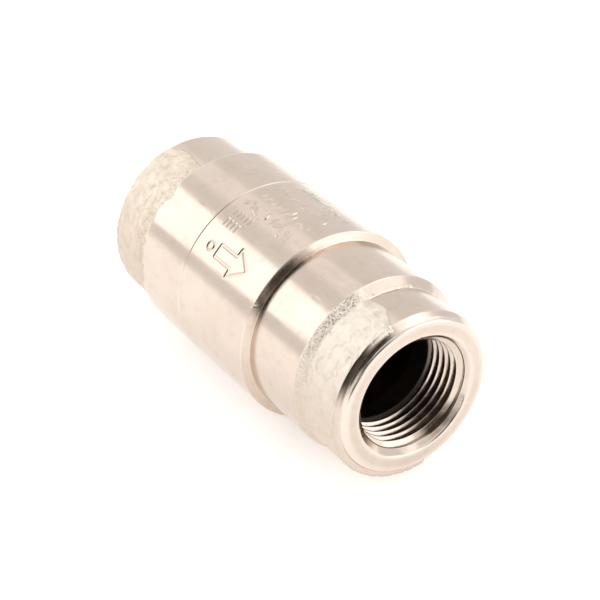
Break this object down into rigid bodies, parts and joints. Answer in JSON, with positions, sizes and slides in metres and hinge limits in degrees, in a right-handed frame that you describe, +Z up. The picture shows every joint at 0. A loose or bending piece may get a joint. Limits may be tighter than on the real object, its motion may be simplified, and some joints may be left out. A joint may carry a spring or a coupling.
{
  "type": "check valve",
  "caption": "In-line spring check valve: round cast and turned metal body with tapped pipe ports at its ends, a screwed-in inlet cap and a guided poppet that lets fluid through one way.",
  "frame": {"origin": "on the valve's axis, halfway between the two end faces", "axes": "+X along the valve's axis towards the outlet port, +Z up, +Y across"},
  "size_m": [0.0876, 0.044, 0.044],
  "materials": {
    "body_metal": "turned and polished, with rough as-cast skin on the necks",
    "inner_brass": "machined, darkened by use",
    "inner_steel": "bright drawn",
    "seal_rubber": "moulded, matt",
    "bush_plastic": "machined"
  },
  "bodies": {
    "valve_body": {"outlet_body": "body_metal", "inlet_cap": "body_metal", "body_o_ring": "seal_rubber", "seat_ring": "inner_brass", "seat_o_ring": "seal_rubber", "return_spring": "inner_steel", "spring_washer": "inner_steel", "stem_guide": "inner_brass", "guide_bushing": "bush_plastic", "retaining_ring": "inner_steel"},
    "poppet": {"poppet_disc": "inner_brass", "seal_disc": "seal_rubber", "seal_retainer": "inner_brass", "poppet_stem": "inner_steel", "lock_washer": "inner_steel", "stem_nut": "inner_steel"}
  },
  "joints": [
    {"name": "poppet_slide", "type": "slide", "parent": "valve_body", "child": "poppet", "axis": [1, 0, 0], "range_m": [0, 0.0055], "stiffness_N_per_m": 250, "springref_m": -0.0048, "deforming": ["return_spring"]}
  ]
}
